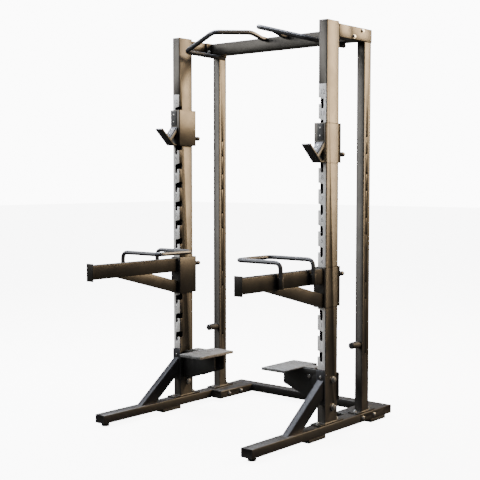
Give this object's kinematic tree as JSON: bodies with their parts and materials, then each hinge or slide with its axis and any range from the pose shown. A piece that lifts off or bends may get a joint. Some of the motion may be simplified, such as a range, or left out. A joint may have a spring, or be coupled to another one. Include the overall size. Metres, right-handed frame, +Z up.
{
  "type": "power cage",
  "caption": "Strength-training half rack: slotted posts with lift-off bar hooks and spotter arms, dip handles, a pull-up beam, band pegs and fold-up steps.",
  "frame": {"origin": "on the floor, under the middle of the whole rack, spotter arms included", "axes": "+Z up; the rack's front, where the hooks and spotter arms point, faces -Y; X runs across the rack"},
  "size_m": [1.2012, 1.372, 2.2879],
  "materials": {
    "bronze_paint": "satin metallic powder coat",
    "zinc_steel": "zinc plated",
    "black_rubber": "matt moulded",
    "black_plastic": "fine moulded texture",
    "number_strip": "printed film",
    "tread_coat": "speckled non-slip coat"
  },
  "bodies": {
    "root": {"base_rail_left": "bronze_paint", "base_rail_right": "bronze_paint", "rear_base": "bronze_paint", "brace_left": "bronze_paint", "brace_right": "bronze_paint", "front_foot_left": "black_rubber", "front_foot_right": "black_rubber", "middle_foot_left": "black_rubber", "middle_foot_right": "black_rubber", "rear_foot_left": "black_rubber", "rear_foot_right": "black_rubber", "front_post_left": "bronze_paint", "front_post_right": "bronze_paint", "rear_post_left": "bronze_paint", "rear_post_right": "bronze_paint", "number_strip_left": "number_strip", "number_strip_right": "number_strip", "band_peg_left": "black_rubber", "band_peg_right": "black_rubber", "top_arm_left": "bronze_paint", "top_arm_right": "bronze_paint", "rear_stub_left": "bronze_paint", "rear_stub_right": "bronze_paint", "crossbeam": "bronze_paint", "pull_up_handle_left": "bronze_paint", "pull_up_handle_right": "bronze_paint", "step_bracket_left": "bronze_paint", "step_bracket_right": "bronze_paint", "step_pivot_left": "zinc_steel", "step_pivot_right": "zinc_steel", "upper_bolt_left": "zinc_steel", "upper_bolt_right": "zinc_steel", "lower_bolt_left": "zinc_steel", "lower_bolt_right": "zinc_steel"},
    "bar_hook_left": {"bar_hook_left_carrier": "bronze_paint", "bar_hook_left_liner": "black_plastic", "bar_hook_left_cradle": "bronze_paint", "bar_hook_left_face_pad": "black_rubber", "bar_hook_left_seat_pad": "black_rubber"},
    "bar_hook_right": {"bar_hook_right_carrier": "bronze_paint", "bar_hook_right_liner": "black_plastic", "bar_hook_right_cradle": "bronze_paint", "bar_hook_right_face_pad": "black_rubber", "bar_hook_right_seat_pad": "black_rubber"},
    "bar_hook_pin_left": {"bar_hook_left_pin": "black_plastic"},
    "bar_hook_pin_right": {"bar_hook_right_pin": "black_plastic"},
    "spotter_left": {"spotter_left_carrier": "bronze_paint", "spotter_left_liner": "black_plastic", "spotter_left_arm": "bronze_paint"},
    "spotter_right": {"spotter_right_carrier": "bronze_paint", "spotter_right_liner": "black_plastic", "spotter_right_arm": "bronze_paint"},
    "spotter_pin_left": {"spotter_left_pin": "black_plastic"},
    "spotter_pin_right": {"spotter_right_pin": "black_plastic"},
    "dip_left": {"dip_handle_left": "bronze_paint"},
    "dip_right": {"dip_handle_right": "bronze_paint"},
    "step_left": {"step_platform_left": "tread_coat"},
    "step_right": {"step_platform_right": "tread_coat"},
    "step_lock_left": {"step_pin_left": "black_plastic"},
    "step_lock_right": {"step_pin_right": "black_plastic"}
  },
  "joints": [
    {"name": "bar_hook_left_lift", "type": "slide", "parent": "root", "child": "bar_hook_left", "axis": [0, 0, 1], "range_m": [0, 0.036]},
    {"name": "bar_hook_right_lift", "type": "slide", "parent": "root", "child": "bar_hook_right", "axis": [0, 0, 1], "range_m": [0, 0.036]},
    {"name": "spotter_left_lift", "type": "slide", "parent": "root", "child": "spotter_left", "axis": [0, 0, 1], "range_m": [0, 0.036]},
    {"name": "spotter_right_lift", "type": "slide", "parent": "root", "child": "spotter_right", "axis": [0, 0, 1], "range_m": [0, 0.036]},
    {"name": "dip_handle_left_lift", "type": "slide", "parent": "spotter_left", "child": "dip_left", "axis": [0, 0, 1], "range_m": [0, 0.05]},
    {"name": "dip_handle_right_lift", "type": "slide", "parent": "spotter_right", "child": "dip_right", "axis": [0, 0, 1], "range_m": [0, 0.05]},
    {"name": "bar_hook_left_pull", "type": "slide", "parent": "bar_hook_left", "child": "bar_hook_pin_left", "axis": [0, 1, 0], "range_m": [0, 0.012], "stiffness_N_per_m": 1200, "springref_m": -0.004},
    {"name": "bar_hook_right_pull", "type": "slide", "parent": "bar_hook_right", "child": "bar_hook_pin_right", "axis": [0, 1, 0], "range_m": [0, 0.012], "stiffness_N_per_m": 1200, "springref_m": -0.004},
    {"name": "spotter_left_pull", "type": "slide", "parent": "spotter_left", "child": "spotter_pin_left", "axis": [0, 1, 0], "range_m": [0, 0.012], "stiffness_N_per_m": 1200, "springref_m": -0.004},
    {"name": "spotter_right_pull", "type": "slide", "parent": "spotter_right", "child": "spotter_pin_right", "axis": [0, 1, 0], "range_m": [0, 0.012], "stiffness_N_per_m": 1200, "springref_m": -0.004},
    {"name": "step_left_pull", "type": "slide", "parent": "root", "child": "step_lock_left", "axis": [0, 1, 0], "range_m": [0, 0.012], "stiffness_N_per_m": 1200, "springref_m": -0.004},
    {"name": "step_right_pull", "type": "slide", "parent": "root", "child": "step_lock_right", "axis": [0, 1, 0], "range_m": [0, 0.012], "stiffness_N_per_m": 1200, "springref_m": -0.004},
    {"name": "step_left_fold", "type": "hinge", "parent": "root", "child": "step_left", "pos_m": [-0.445, 0.09, 0.32], "axis": [0, -1, 0], "range_deg": [0, 90]},
    {"name": "step_right_fold", "type": "hinge", "parent": "root", "child": "step_right", "pos_m": [0.445, 0.09, 0.32], "axis": [0, 1, 0], "range_deg": [0, 90]}
  ]
}
